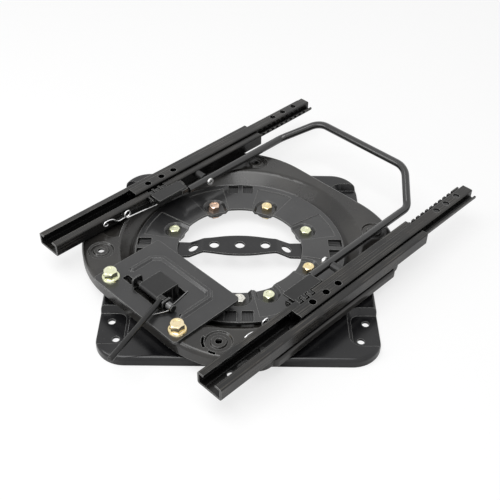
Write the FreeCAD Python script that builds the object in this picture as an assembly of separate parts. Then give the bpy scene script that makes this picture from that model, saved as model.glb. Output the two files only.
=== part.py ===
import FreeCAD
import Part
import math
import os
from FreeCAD import Placement, Rotation, Vector

# Swivel seat base. Millimetres, +Z up. The origin is on the swivel axis at the base's underside, X runs to
# the right and Y to the back of the base. The turning half is drawn along its rails, with the rails along
# +X and the lock at -X, and is then turned to the angle at which it stands.

# Overall driving sizes
swivel_angle = 45.0
base_width = 320.0
base_depth = 344.0
base_height = 12.0
sheet = 3.0
bolt_circle_radius = 90.0
bolt_start_angle = 22.5
bolt_count = 8
front_bolt_angle = -90.0
rail_track = 292.6
rail_stagger = 5.0
running_gap = 0.3
slide_gap = 0.1

# Base plate
base_corner_radius = 35.0
base_fold_radius = 4.5
annulus_edge = 7.0
annulus_rise = 2.0
boss_radius = 101.0
boss_rise = 3.0
step_slope = 2.0
opening_radius = 88.0
lobe_radius = 13.0
pocket_edge = 20.0
pocket_width = 62.0
pocket_length = 37.0
pocket_slope = 6.0
pocket_corner_radius = 16.0
seat_hole_radius = 4.25
seat_hole_insets = ((14.1, 63.0), (22.0, 36.0))

# Clamp ring and its pressed pockets
ring_inner_radius = 77.0
ring_outer_radius = 129.0
ring_pocket_centre = 88.0
ring_pocket_radius = 11.5
ring_pocket_draft = 4.0
ring_pocket_depth = 4.0
ring_step_radius = 122.0
ring_step_depth = 0.8
detent_inner = 110.0
detent_outer = 127.0
detent_width = 13.6
detent_pitch = 19.5
detent_corner = 1.2

# Glide rings and the swivel plate's rim
glide_inner_radius = 103.0
glide_width = 23.0
lower_glide_thickness = 1.9
collar_width = 2.7
upper_glide_thickness = 1.9
rim_inner_radius = 106.0

# Bolts and nuts
ring_bolt_radius = 4.0
ring_bolt_across_flats = 13.0
ring_bolt_head = 5.3
ring_nut_height = 6.5
ring_shank_below_nut = 2.0
lock_bolt_radius = 5.0
lock_bolt_across_flats = 15.0
lock_bolt_flange_radius = 10.9
lock_bolt_flange = 2.0
lock_bolt_head = 9.0
lock_nut_height = 8.0
bolt_hole_gap = 0.3

# Cross strap
strap_foot_reach = 99.0
strap_foot_width = 26.0
strap_waist_width = 24.0
strap_middle_width = 35.0
strap_rise = 8.0
strap_ramp_start = 45.0
strap_ramp_end = 62.0
strap_bend_radius = 9.0
strap_hole_radius = 6.0
strap_holes = (-57.5, -31.5, 0.0, 31.5, 57.5)

# Swivel plate
plate_top = 35.0
plate_half_length = 167.5
plate_half_width = 157.0
plate_arc_radius = 125.0
plate_arc_side = 55.0
plate_corner_radius = 22.0
plate_fold_radius = 5.5
plate_flange_bottom = 17.0
dish_top_radius = 148.0
dish_bottom_radius = 132.0
dish_lip = 4.0
dish_edge_radius = 8.0
dish_under_radius = 4.5
ledge_half_length = 105.0
ledge_width = 5.0
ledge_top = 27.0
dimple_places = ((-133.0, -103.0), (-133.0, 103.0), (133.0, -103.0), (133.0, 103.0))
dimple_outer_radius = 15.0
dimple_inner_radius = 9.0
dimple_depth = 2.0
dimple_hole_radius = 4.0
curved_slot_radii = (16.2, 19.2)
curved_slot_spans = ((112.0, 165.0), (188.0, 215.0))
hook_dish_place = (-95.0, 124.0)
hook_dish_radius = 17.0

# Lock plate, in the turning half's own directions
lock_front = -171.0
lock_back = -73.0
lock_left = 68.0
lock_right = -75.0
lock_corner_radius = 5.0
lock_bolt_line = -155.5
lock_bolt_sides = (54.2, -61.9)
bead_path = ((-129.0, 47.0), (-101.0, 47.0), (-91.0, 37.0), (-91.0, -42.0), (-98.0, -50.0), (-137.0, -50.0))
bead_half_width = 4.5
bead_crest_half_width = 1.6
bead_height = 2.5
window_front = -150.0
window_back = -110.0
window_left = 21.5
window_right = -28.0
window_corner_radius = 2.5
plate_slot = ((-147.0, -139.0), (26.0, 44.0))

# Release latch
latch_pivot = -141.0
latch_pivot_height = 43.0
latch_pin_radius = 3.0
latch_ear_thickness = 2.0
near_ear_side = window_right + 1.0
far_ear_side = window_left + 1.0
ear_half_length = 7.0
ear_top = 50.0
latch_ear_bend = 1.2
hub_radius = 5.0
pawl_right = -16.0
pawl_left = 14.5
pawl_back = -113.5
pawl_thickness = 2.4
pawl_tooth_width = 9.0
pawl_tooth_front = -121.5
eye_radius = 5.5
eye_width = 8.0
lever_rod_radius = 3.25
lever_rod_lift = 3.0
lever_end = (-238.0, -51.5)
latch_wire_radius = 0.7
latch_coil_turns = 4.5
latch_leg_end = (-108.0, -25.5)
latch_tail_end = (-178.0, -30.5)

# Rails
rail_floor_height = 35.0
lower_rail_half_width = 17.5
lower_rail_height = 17.0
lower_rail_wall = 2.5
lower_rail_front = -182.0
lower_rail_back = 164.0
lip_inner = 8.5
upper_rail_half_width = 7.5
upper_rail_top = 55.5
upper_rail_wall = 2.5
upper_rail_front = -53.5
upper_rail_length = 327.5
hook_height = 49.0
hook_bottom = 38.5
rail_bend_radius = 1.2
tooth_pitch = 9.5
tooth_gap = 5.0
tooth_depth = 3.1
tooth_end_margin = 16.0
upper_hole_radius = 4.25
upper_holes = (26.0, 48.5, 69.0)
floor_hole_places = (-152.0,)
floor_hole_radius = 4.0
floor_slot_place = -134.0
floor_slot_length = 14.0
floor_line_side = -6.0
floor_line_width = 0.8
floor_line_depth = 0.4
rivet_places = (-105.0, -60.0, 60.0, 105.0)
rivet_radius = 2.5
rivet_head_radius = 4.4
rivet_head_height = 2.0

# Balls and their cages
ball_radius = 2.5
ball_gap = 0.15
ball_spacing = 46.0
balls_per_side = 4
cage_thickness = 0.55
cage_inner = 4.8
cage_length = 160.0

# Release handle
handle_tube_radius = 5.0
handle_tube_wall = 1.2
handle_leg_gap = 18.4
handle_leg_start = 10.0
handle_bend = 190.0
handle_corner = 228.5
handle_bar_half_width = 73.8
handle_bar_rise = 25.5
handle_bend_radius = 16.5
handle_corner_radius = 27.5
handle_pivot = 42.5
handle_pivot_height = 45.0
handle_pin_radius = 3.0
handle_pin_head_radius = 4.7
handle_pin_head = 2.5
handle_pin_bore_radius = 1.9
handle_pin_bore_depth = 8.0
handle_pin_shoulder_radius = 5.0
pin_running_gap = 0.05

# Rail latches, in each rail's own place along the rail
latch_plate_front = -38.0
latch_plate_back = 8.0
latch_plate_width = 17.8
latch_plate_thickness = 2.0
latch_hinge_gap = 4.8
latch_hinge_height = 46.0
latch_hinge_radius = 2.0
latch_lug_width = 2.0
latch_finger_width = 4.4
latch_finger_overlap = 6.2
latch_fingers = (-33.5, -24.0, -14.5)
latch_slot_gap = 1.1
latch_arm_front = -2.0
latch_tab_length = 8.0
latch_tab_height = 2.4
latch_tab_width = 3.0
latch_ear_gap = 2.0

# Handle return spring
return_wire_radius = 1.0
return_coil_radius = 4.0
return_coil_turns = 2
return_coil_place = (-73.5, 49.5)
return_coil_gap = 2.4
return_hook = (-108.0, 43.0)
return_leg_end = (-37.0, 15.8, 47.0)

# Heights and places that follow from the sizes above
annulus_radius = min(base_width, base_depth) / 2 - annulus_edge
pocket_far = base_depth / 2 - pocket_edge
pocket_near = pocket_far - pocket_width
pocket_inner = base_width / 2 - pocket_length
annulus_top = base_height + annulus_rise
boss_top = annulus_top + boss_rise
rim_bottom = annulus_top + lower_glide_thickness + slide_gap
rim_top = rim_bottom + sheet
ring_bottom = rim_top + slide_gap + upper_glide_thickness
ring_top = ring_bottom + sheet
ring_pocket_top = ring_top - ring_pocket_depth
ring_pocket_bottom = ring_pocket_top - sheet
glide_outer_radius = glide_inner_radius + glide_width
collar_outer_radius = rim_inner_radius - running_gap
plate_under = plate_top - sheet
lock_top = plate_top + sheet
rail_line = rail_track / 2
lower_rail_top = rail_floor_height + lower_rail_height
rail_inner_half_width = lower_rail_half_width - lower_rail_wall
rail_floor_top = rail_floor_height + lower_rail_wall
lip_under = lower_rail_top - lower_rail_wall
rail_hook_half_width = rail_inner_half_width - 2 * running_gap + slide_gap
rail_wall_side = rail_line - lower_rail_half_width
ball_side = rail_inner_half_width - ball_gap - ball_radius
ball_height = rail_floor_top + ball_gap + ball_radius
latch_plate_bottom = hook_height + running_gap
bolt_angles = [bolt_start_angle + 360.0 / bolt_count * i for i in range(bolt_count)]
leg_line = rail_wall_side - handle_leg_gap
latch_plate_inner = rail_wall_side - latch_plate_width
latch_hinge_side = rail_wall_side - latch_hinge_gap
latch_finger_reach = rail_wall_side + latch_finger_overlap
return_coil_side = rail_wall_side - return_coil_gap


def polar(radius, angle):
    """Point on the ground plane at a radius and an angle in degrees."""
    turn = math.radians(angle)
    return radius * math.cos(turn), radius * math.sin(turn)


def cylinder(radius, low, high, x=0.0, y=0.0):
    """Upright cylinder between two heights."""
    return Part.makeCylinder(radius, high - low, Vector(x, y, low))


def cone(low_radius, high_radius, low, high, x=0.0, y=0.0):
    """Upright frustum between two heights."""
    return Part.makeCone(low_radius, high_radius, high - low, Vector(x, y, low))


def block(x_range, y_range, z_range):
    """Box between three pairs of limits."""
    corner = Vector(x_range[0], y_range[0], z_range[0])
    return Part.makeBox(x_range[1] - x_range[0], y_range[1] - y_range[0], z_range[1] - z_range[0], corner)


def rod(start, end, radius):
    """Round bar between two points."""
    start = Vector(*start)
    along = Vector(*end) - start
    return Part.makeCylinder(radius, along.Length, start, along)


def joined(shapes):
    """One solid from several that meet."""
    whole = shapes[0]
    if len(shapes) > 1:
        whole = whole.multiFuse(shapes[1:])
    return whole.removeSplitter()


def corner_arc(before, corner, after, radius):
    """Start, middle and end of the arc that rounds a corner."""
    towards_before = (before - corner).normalize()
    towards_after = (after - corner).normalize()
    half = towards_before.getAngle(towards_after) / 2
    reach = radius / math.tan(half)
    middle_line = (towards_before + towards_after).normalize()
    middle = corner + middle_line * (radius / math.sin(half) - radius)
    return corner + towards_before * reach, middle, corner + towards_after * reach


def rounded_edges(points, radii, closed):
    """Straight edges joined by tangent arcs, through points with a radius at each."""
    count = len(points)
    ends = []
    for i in range(count):
        inner = closed or 0 < i < count - 1
        if inner and radii[i] > 0:
            ends.append(corner_arc(points[i - 1], points[i], points[(i + 1) % count], radii[i]))
        else:
            ends.append((points[i], None, points[i]))
    edges = []
    for i in range(count):
        if i > 0 or closed:
            start = ends[i - 1][2]
            if (ends[i][0] - start).Length > 1e-6:
                edges.append(Part.LineSegment(start, ends[i][0]).toShape())
        if ends[i][1] is not None:
            edges.append(Part.Arc(*ends[i]).toShape())
    return edges


def outline_face(corners, place):
    """Face from (a, b, radius) corners, with place turning a and b into a point."""
    points = [place(a, b) for a, b, _ in corners]
    radii = [radius for _, _, radius in corners]
    return Part.Face(Part.Wire(rounded_edges(points, radii, True)))


def plan_solid(corners, low, high):
    """Outline seen from above, between two heights."""
    face = outline_face(corners, lambda a, b: Vector(a, b, low))
    return face.extrude(Vector(0, 0, high - low))


def side_solid(corners, start, end):
    """Outline in X and Z, between two places along Y."""
    face = outline_face(corners, lambda a, b: Vector(a, start, b))
    return face.extrude(Vector(0, end - start, 0))


def section_solid(corners, start, end):
    """Outline in Y and Z, between two places along X."""
    face = outline_face(corners, lambda a, b: Vector(start, a, b))
    return face.extrude(Vector(end - start, 0, 0))


def turned(points):
    """Solid of revolution about the swivel axis from (radius, height) points."""
    loop = [Vector(radius, 0, height) for radius, height in points]
    face = Part.Face(Part.makePolygon(loop + loop[:1]))
    return face.revolve(Vector(0, 0, 0), Vector(0, 0, 1), 360)


def turned_rounded(corners):
    """Solid of revolution about the swivel axis from (radius, height, corner radius) points."""
    face = outline_face(corners, lambda a, b: Vector(a, 0, b))
    return face.revolve(Vector(0, 0, 0), Vector(0, 0, 1), 360)


def rectangle(x_range, y_range, radius):
    """Corners of a rectangle with one corner radius."""
    low_x, high_x = x_range
    low_y, high_y = y_range
    return ((low_x, low_y, radius), (high_x, low_y, radius), (high_x, high_y, radius), (low_x, high_y, radius))


def hexagon(across_flats, low, high, x, y, angle):
    """Hexagonal prism with a flat towards the angle, in degrees."""
    reach = across_flats / math.sqrt(3)
    corners = []
    for i in range(6):
        dx, dy = polar(reach, angle + 30 + 60 * i)
        corners.append((x + dx, y + dy, 0))
    return plan_solid(corners, low, high)


def top_edges(shape, height):
    """Edges of a solid that lie flat at a height."""
    return [e for e in shape.Edges if e.BoundBox.ZMin > height - 0.01 and e.BoundBox.ZMax < height + 0.01]


def softened_top(shape, height, radius):
    """Round the edges of a solid at a height."""
    return shape.makeFillet(radius, top_edges(shape, height))


def ring_copies(shape, angles):
    """Copies of a shape drawn on +X, turned about the swivel axis."""
    copies = []
    for angle in angles:
        copy = shape.copy()
        copy.rotate(Vector(0, 0, 0), Vector(0, 0, 1), angle)
        copies.append(copy)
    return copies


def mirrored_across(shape, normal):
    """Shape and its mirror image across a plane through the swivel axis."""
    return [shape, shape.mirror(Vector(0, 0, 0), normal)]


def four_corners(shape):
    """A shape drawn in the corner of +X and +Y, in all four corners."""
    pair = mirrored_across(shape, Vector(1, 0, 0))
    return pair + [s.mirror(Vector(0, 0, 0), Vector(0, 1, 0)) for s in pair]


def base_skin(inset, low):
    """Outside of the base plate's pressed form, or the same form one sheet further in."""
    top = base_height - inset
    x_half = base_width / 2 - inset
    y_half = base_depth / 2 - inset
    outline = rectangle((-x_half, x_half), (-y_half, y_half), base_corner_radius - inset)
    body = softened_top(plan_solid(outline, low, top), top, base_fold_radius - inset)
    rise = top + annulus_rise
    annulus = cone(annulus_radius + step_slope - inset, annulus_radius - inset, top, rise)
    boss = cone(boss_radius + step_slope / 2 - inset, boss_radius - inset, rise, rise + boss_rise)
    return joined([body, annulus, boss])


def pocket_form(grow, low, high, slope_low, slope_high):
    """Corner pocket open to the side, wider at its top than at its floor."""
    wires = []
    for height, slope in ((low, slope_low), (high, slope_high)):
        inner = pocket_inner - grow + slope
        outer = base_width / 2 + (1.0 if grow == 0 else 0.0)
        near = pocket_near - grow + slope
        far = pocket_far + grow - slope
        radius = pocket_corner_radius + grow - slope
        corners = ((inner, near, radius), (outer, near, 0), (outer, far, 0), (inner, far, radius))
        points = [Vector(a, b, height) for a, b, _ in corners]
        wires.append(Part.Wire(rounded_edges(points, [c[2] for c in corners], True)))
    return Part.makeLoft(wires, True, True)


def opening_solid():
    """Scalloped central opening, with a lobe left under each bolt and strap foot."""
    hole = cylinder(opening_radius, -1.0, boss_top + 1.0)
    lobe = cylinder(lobe_radius, -2.0, boss_top + 2.0, bolt_circle_radius)
    lobes = ring_copies(lobe, bolt_angles + [front_bolt_angle])
    foot_half = strap_foot_width / 2 + 1.0
    foot = block((ring_inner_radius, opening_radius + 2.0), (-foot_half, foot_half), (-2.0, boss_top + 2.0))
    return hole.cut(lobes + ring_copies(foot, (0, 180)))


def base_plate():
    """Pressed base plate with a turned-down edge, corner pockets and a raised seat for the ring."""
    plate = base_skin(0.0, 0.0).cut(base_skin(sheet, -1.0))
    outer = pocket_form(sheet, 0.0, base_height, pocket_slope, pocket_slope / 3)
    keep = base_skin(0.0, 0.0)
    plate = plate.fuse([p.common(keep) for p in four_corners(outer)])
    inner = pocket_form(0.0, sheet, base_height + annulus_rise, pocket_slope, 0.0)
    plate = plate.cut(four_corners(inner))
    plate = plate.cut(opening_solid())
    holes = []
    for x_inset, y_inset in seat_hole_insets:
        x = base_width / 2 - x_inset
        y = base_depth / 2 - y_inset
        holes += four_corners(cylinder(seat_hole_radius, -1.0, sheet + 1.0, x, y))
    bolt_hole = cylinder(ring_bolt_radius + bolt_hole_gap, 0.0, boss_top + 1.0, bolt_circle_radius)
    holes += ring_copies(bolt_hole, bolt_angles + [front_bolt_angle])
    return plate.cut(holes).removeSplitter()


def ring_pocket(grow, low, high):
    """U-shaped pressed pocket on +X, open to the ring's inner edge."""
    low_radius = ring_pocket_radius + grow
    high_radius = low_radius + ring_pocket_draft
    inner = ring_inner_radius - 8.0
    share = inner / ring_pocket_centre
    wires = []
    for radius, height in ((low_radius, low), (high_radius, high)):
        points = [Vector(inner, -radius * share, height), Vector(ring_pocket_centre, -radius, height),
                  Vector(ring_pocket_centre, radius, height), Vector(inner, radius * share, height)]
        wires.append(Part.makePolygon(points + points[:1]))
    mouth = Part.makeLoft(wires, True, True)
    return joined([mouth, cone(low_radius, high_radius, low, high, ring_pocket_centre)])


def ring_step(angle):
    """Low sector of the clamp ring's top, about one bolt."""
    span = 180.0 / bolt_count
    low = ring_top - ring_step_depth
    corners = ((ring_inner_radius - 1.0, low), (ring_step_radius, low), (ring_step_radius, ring_top + 1.0),
               (ring_inner_radius - 1.0, ring_top + 1.0))
    loop = [Vector(radius, 0, height) for radius, height in corners]
    face = Part.Face(Part.makePolygon(loop + loop[:1]))
    face.rotate(Vector(0, 0, 0), Vector(0, 0, 1), angle - span / 2)
    return face.revolve(Vector(0, 0, 0), Vector(0, 0, 1), span)


def clamp_ring():
    """Pressed ring that clamps the swivel plate's rim, with a pocket for each bolt and lock detents."""
    ring = cylinder(ring_outer_radius, ring_bottom, ring_top)
    angles = bolt_angles + [front_bolt_angle]
    walls = ring_copies(ring_pocket(sheet / 2, ring_pocket_bottom, ring_bottom + 0.5), angles)
    ring = joined([ring] + walls)
    pockets = ring_copies(ring_pocket(0.0, ring_pocket_top, ring_top), angles)
    bolt_hole = cylinder(ring_bolt_radius + bolt_hole_gap, 0.0, ring_top, bolt_circle_radius)
    holes = ring_copies(bolt_hole, angles)
    middle = detent_pitch / 2
    half = detent_width / 2
    slot = plan_solid(rectangle((detent_inner, detent_outer), (middle - half, middle + half), detent_corner),
                      ring_bottom - 1.0, ring_top + 1.0)
    detents = []
    for pair in mirrored_across(slot, Vector(0, 1, 0)):
        detents += ring_copies(pair, (0, 90, 180, 270))
    bore = cylinder(ring_inner_radius, 0.0, ring_top + 1.0)
    steps = [ring_step(angle) for angle in bolt_angles]
    return ring.cut(pockets + steps + holes + detents + [bore]).removeSplitter()


def lower_glide_ring():
    """Plastic ring under the swivel rim, with a collar that centres it."""
    top = annulus_top + lower_glide_thickness
    collar_inner = collar_outer_radius - collar_width
    collar_top = rim_top - 0.5
    return turned(((collar_inner, annulus_top), (glide_outer_radius, annulus_top), (glide_outer_radius, top),
                   (collar_outer_radius, top), (collar_outer_radius, collar_top), (collar_inner, collar_top)))


def upper_glide_ring():
    """Plastic ring over the swivel rim, seen through the detents, with fine radial ribs."""
    low = ring_bottom - upper_glide_thickness
    ring = turned(((rim_inner_radius, low), (glide_outer_radius, low),
                   (glide_outer_radius, ring_bottom), (rim_inner_radius, ring_bottom)))
    groove = block((detent_inner, glide_outer_radius + 1.0), (-0.7, 0.7), (ring_bottom - 0.8, ring_bottom + 1.0))
    grooves = []
    for quarter in (0, 90, 180, 270):
        grooves += ring_copies(groove, [quarter + 1.5 * i for i in range(-7, 8)])
    return ring.cut(grooves)


def hex_bolt(radius, across_flats, seat, head, tip, x, y, angle):
    """Hexagon bolt standing on a seat, with a chamfered head and a plain shank."""
    body = hexagon(across_flats, seat, seat + head, x, y, angle)
    reach = across_flats / math.sqrt(3)
    crown = cone(reach + head, across_flats / 2 - 0.4, seat, seat + head, x, y)
    hollow = cylinder(across_flats * 0.28, seat + head - 0.4, seat + head + 1.0, x, y)
    return joined([body.common(crown).cut(hollow), cylinder(radius, tip, seat + 0.5, x, y)])


def ring_bolt(angle):
    """One of the bolts through the clamp ring."""
    x, y = polar(bolt_circle_radius, angle)
    tip = boss_top - sheet - ring_nut_height - ring_shank_below_nut
    return hex_bolt(ring_bolt_radius, ring_bolt_across_flats, ring_pocket_top, ring_bolt_head, tip, x, y, angle)


def ring_nut(angle):
    """Nut under the base plate's raised seat."""
    x, y = polar(bolt_circle_radius, angle)
    high = boss_top - sheet
    nut = hexagon(ring_bolt_across_flats, high - ring_nut_height, high, x, y, angle)
    return nut.cut(cylinder(ring_bolt_radius + slide_gap, 0.0, high + 1.0, x, y))


def cross_strap():
    """Perforated bridge across the opening, pressed up in the middle."""
    end = strap_foot_reach
    low = boss_top
    high = boss_top + strap_rise
    bend = strap_bend_radius
    under = ((-end, low, 0), (-strap_ramp_end, low, bend), (-strap_ramp_start, high, bend),
             (strap_ramp_start, high, bend), (strap_ramp_end, low, bend), (end, low, 0))
    over = tuple((x, z + sheet, r) for x, z, r in reversed(under))
    strip = side_solid(under + over, -strap_middle_width, strap_middle_width)
    middle = strap_middle_width / 2
    waist = strap_waist_width / 2
    foot = strap_foot_width / 2
    half_widths = ((-end, foot), (-ring_inner_radius, foot), (-strap_ramp_end, waist + 0.6), (-46.0, waist),
                   (-22.0, middle - 1.8), (0.0, middle), (22.0, middle - 1.8), (46.0, waist),
                   (strap_ramp_end, waist + 0.6), (ring_inner_radius, foot), (end, foot))
    far_side = Part.BSplineCurve()
    far_side.interpolate([Vector(x, y, 0) for x, y in half_widths])
    near_side = Part.BSplineCurve()
    near_side.interpolate([Vector(x, -y, 0) for x, y in half_widths])
    ends = [Part.LineSegment(Vector(x, -foot, 0), Vector(x, foot, 0)).toShape() for x in (-end, end)]
    loop = Part.Wire([far_side.toShape(), ends[1], near_side.toShape(), ends[0]])
    plan = Part.Face(loop).extrude(Vector(0, 0, high + 2 * sheet))
    holes = [cylinder(strap_hole_radius, 0.0, high + 2 * sheet, x) for x in strap_holes]
    return strip.common(plan).cut(holes)


def plate_form(inset, low, high):
    """Swivel plate's outline between two heights: a long rounded form with its two sides cut straight."""
    x_half = plate_half_length - inset
    y_half = plate_arc_side + plate_arc_radius - inset
    side = plate_half_width - inset
    body = plan_solid(rectangle((-x_half, x_half), (-y_half, y_half), plate_arc_radius - inset), low, high)
    body = body.common(block((-x_half, x_half), (-side, side), (low, high)))
    upright = [e for e in body.Edges if e.BoundBox.ZLength > (high - low) / 2
               and abs(abs(e.CenterOfMass.y) - side) < 0.01]
    body = body.makeFillet(plate_corner_radius - inset, upright)
    return softened_top(body, high, plate_fold_radius - inset)


def side_ledge(inset, low, high):
    """Low ledge along the middle of both long sides."""
    x_half = ledge_half_length - inset
    y_half = plate_half_width + ledge_width - inset
    ledge = plan_solid(rectangle((-x_half, x_half), (-y_half, y_half), 6.0 - inset), low, high)
    return softened_top(ledge, high, 3.5 - inset)


def swivel_plate():
    """Deep-drawn plate that carries the rails, with a dished middle and a rim held under the clamp ring."""
    outer = joined([plate_form(0.0, plate_flange_bottom, plate_top),
                    side_ledge(0.0, plate_flange_bottom, ledge_top)])
    inner = joined([plate_form(sheet, plate_flange_bottom - 1.0, plate_under),
                    side_ledge(sheet, plate_flange_bottom - 1.0, ledge_top - sheet)])
    plate = outer.cut(inner)
    lip = dish_top_radius + dish_lip
    plate = plate.cut(cylinder(lip, 0.0, plate_top + 1.0))
    edge = dish_edge_radius
    dish = turned_rounded(((rim_inner_radius, rim_bottom, 0), (dish_bottom_radius + 1.5, rim_bottom, edge),
                           (dish_top_radius + 2.0, plate_under, dish_under_radius), (lip + 1.0, plate_under, 0),
                           (lip + 1.0, plate_top, 0), (dish_top_radius, plate_top, edge),
                           (dish_bottom_radius, rim_top, edge), (rim_inner_radius, rim_top, 0)))
    plate = joined([plate, dish])
    for x, y in dimple_places:
        plate = pressed_groove(plate, x, y)
    plate = pressed_dish(plate, hook_dish_place[0], hook_dish_place[1])
    holes = [cylinder(dimple_hole_radius, plate_under - 4.0, plate_top + 1.0, x, y) for x, y in dimple_places]
    holes += curved_slots(dimple_places[0])
    bolt_hole = lock_bolt_radius + bolt_hole_gap
    holes += [cylinder(bolt_hole, plate_under - 1.0, plate_top + 1.0, lock_bolt_line, y) for y in lock_bolt_sides]
    for side in (1, -1):
        for place in rivet_places:
            x = place + side * rail_stagger
            holes.append(cylinder(rivet_radius + slide_gap, plate_under - 1.0, plate_top + 1.0, x, side * rail_line))
    return plate.cut(holes).removeSplitter()


def curved_slots(place):
    """Two curved slots through the swivel plate, around one of its dimples."""
    slots = []
    for start, end in curved_slot_spans:
        inner, outer = curved_slot_radii
        loop = [Vector(inner, 0, plate_under - 1.0), Vector(outer, 0, plate_under - 1.0),
                Vector(outer, 0, plate_top + 1.0), Vector(inner, 0, plate_top + 1.0)]
        face = Part.Face(Part.makePolygon(loop + loop[:1]))
        face.rotate(Vector(0, 0, 0), Vector(0, 0, 1), start)
        slot = face.revolve(Vector(0, 0, 0), Vector(0, 0, 1), end - start)
        slots.append(slot.translated(Vector(place[0], place[1], 0)))
    return slots


def pressed_groove(plate, x, y):
    """Press a round groove into the swivel plate, about a raised centre."""
    step = dimple_depth / 2
    low = plate_top - dimple_depth
    shape = ((dimple_inner_radius - step, low - sheet), (dimple_outer_radius + step, low - sheet),
             (dimple_outer_radius + 2 * step, plate_under), (dimple_inner_radius - 2 * step, plate_under))
    under = turned(shape)
    shape = ((dimple_inner_radius + step, low), (dimple_outer_radius - step, low),
             (dimple_outer_radius + step, plate_top + 0.5), (dimple_inner_radius - step, plate_top + 0.5))
    groove = turned(shape)
    for part in (under, groove):
        part.translate(Vector(x, y, 0))
    return plate.fuse(under).cut(groove)


def pressed_dish(plate, x, y):
    """Press a shallow round dish into the swivel plate, beside the far rail."""
    low = plate_top - dimple_depth
    under = cone(hook_dish_radius - 1.0, hook_dish_radius + 1.0, low - sheet, plate_under, x, y)
    dish = cone(hook_dish_radius - 2.0, hook_dish_radius + 0.5, low, plate_top + 0.5, x, y)
    ring = cylinder(dish_top_radius + 1.0, 0.0, plate_top + 1.0)
    return plate.fuse(under.cut(ring)).cut(dish.cut(ring))


def pressed_bead(path, half_width, crest, low, height):
    """Raised bead with sloped sides along a path of points."""
    parts = []
    for start, end in zip(path, path[1:]):
        along = Vector(end[0] - start[0], end[1] - start[1], 0)
        angle = math.degrees(math.atan2(along.y, along.x))
        section = ((-half_width, low, 0), (half_width, low, 0), (crest, low + height, 0), (-crest, low + height, 0))
        part = section_solid(section, 0.0, along.Length)
        part.rotate(Vector(0, 0, 0), Vector(0, 0, 1), angle)
        part.translate(Vector(start[0], start[1], 0))
        parts.append(part)
    for x, y in path:
        parts.append(cone(half_width, crest, low, low + height, x, y))
    return joined(parts)


def lock_plate():
    """Bolted plate over the front of the swivel plate, with a window for the lock and a raised bead."""
    outline = rectangle((lock_front, lock_back), (lock_right, lock_left), lock_corner_radius)
    plate = plan_solid(outline, plate_top, lock_top)
    bead = pressed_bead(bead_path, bead_half_width, bead_crest_half_width, lock_top - 0.2, bead_height + 0.2)
    groove = pressed_bead(bead_path, bead_half_width - 1.0, 0.6, plate_top - 0.2, bead_height)
    window = rectangle((window_front, window_back), (window_right, window_left), window_corner_radius)
    slot = rectangle(plate_slot[0], plate_slot[1], 1.5)
    cuts = [groove] + [plan_solid(form, plate_top - 1.0, lock_top + 1.0) for form in (window, slot)]
    hole = lock_bolt_radius + bolt_hole_gap
    cuts += [cylinder(hole, plate_top - 1.0, lock_top + 1.0, lock_bolt_line, y) for y in lock_bolt_sides]
    ears, bore = latch_ears()
    return joined([joined([plate, bead]).cut(cuts)] + ears).cut(bore)


def lock_bolt(y):
    """Flange bolt that holds the lock plate."""
    seat = lock_top + lock_bolt_flange
    tip = plate_under - lock_nut_height - 3.0
    flange = cone(lock_bolt_flange_radius, lock_bolt_flange_radius - 0.8, lock_top, seat, lock_bolt_line, y)
    hub = cone(lock_bolt_flange_radius - 2.0, lock_bolt_across_flats / 2, seat - 0.1, seat + 0.8, lock_bolt_line, y)
    bolt = hex_bolt(lock_bolt_radius, lock_bolt_across_flats, seat, lock_bolt_head, tip, lock_bolt_line, y, 30)
    return joined([bolt, flange, hub])


def lock_nut(y):
    """Nut under the swivel plate for a lock plate bolt."""
    nut = hexagon(lock_bolt_across_flats, plate_under - lock_nut_height, plate_under, lock_bolt_line, y, 0)
    nut = nut.makeChamfer(1.2, top_edges(nut, plate_under))
    return nut.cut(cylinder(lock_bolt_radius + slide_gap, 0.0, plate_top, lock_bolt_line, y))


def latch_ears():
    """Two lugs folded up from the window's sides, with the bore for the lock's hinge pin."""
    thickness = latch_ear_thickness
    front = latch_pivot - ear_half_length
    back = latch_pivot + ear_half_length
    side_shape = ((front, plate_top, 0), (back, plate_top, 0), (back, ear_top, 4.0), (front, ear_top, 4.0))
    ears = []
    for inner, way in ((near_ear_side, -1), (far_ear_side, 1)):
        outer = inner + way * thickness
        foot = outer + way * 4.0
        fold = ((foot, plate_top, 0), (inner, plate_top, latch_ear_bend + thickness), (inner, ear_top + 1.0, 0),
                (outer, ear_top + 1.0, 0), (outer, lock_top, latch_ear_bend), (foot, lock_top, 0))
        ear = section_solid(fold, front, back)
        ears.append(ear.common(side_solid(side_shape, min(foot, inner) - 1.0, max(foot, inner) + 1.0)))
    bore = rod((latch_pivot, near_ear_side - 10.0, latch_pivot_height),
               (latch_pivot, far_ear_side + 10.0, latch_pivot_height), latch_pin_radius + pin_running_gap)
    return ears, bore


def latch_pin():
    """Hinge pin of the lock, with a head at each end, through the lock plate's ears."""
    right = near_ear_side - latch_ear_thickness - coil_length() - 2 * running_gap
    left = far_ear_side + latch_ear_thickness + slide_gap
    shaft = rod((latch_pivot, right - 0.1, latch_pivot_height), (latch_pivot, left + 0.1, latch_pivot_height),
                latch_pin_radius)
    heads = []
    for start, end in ((right - 1.5, right), (left, left + 1.5)):
        heads.append(rod((latch_pivot, start, latch_pivot_height), (latch_pivot, end, latch_pivot_height),
                         latch_pin_radius + 1.2))
    return joined([shaft] + heads)


def coil_length():
    """Length of the lock spring's coil along its pin."""
    return (latch_coil_turns + 1) * 2 * latch_wire_radius * 1.05


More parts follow.
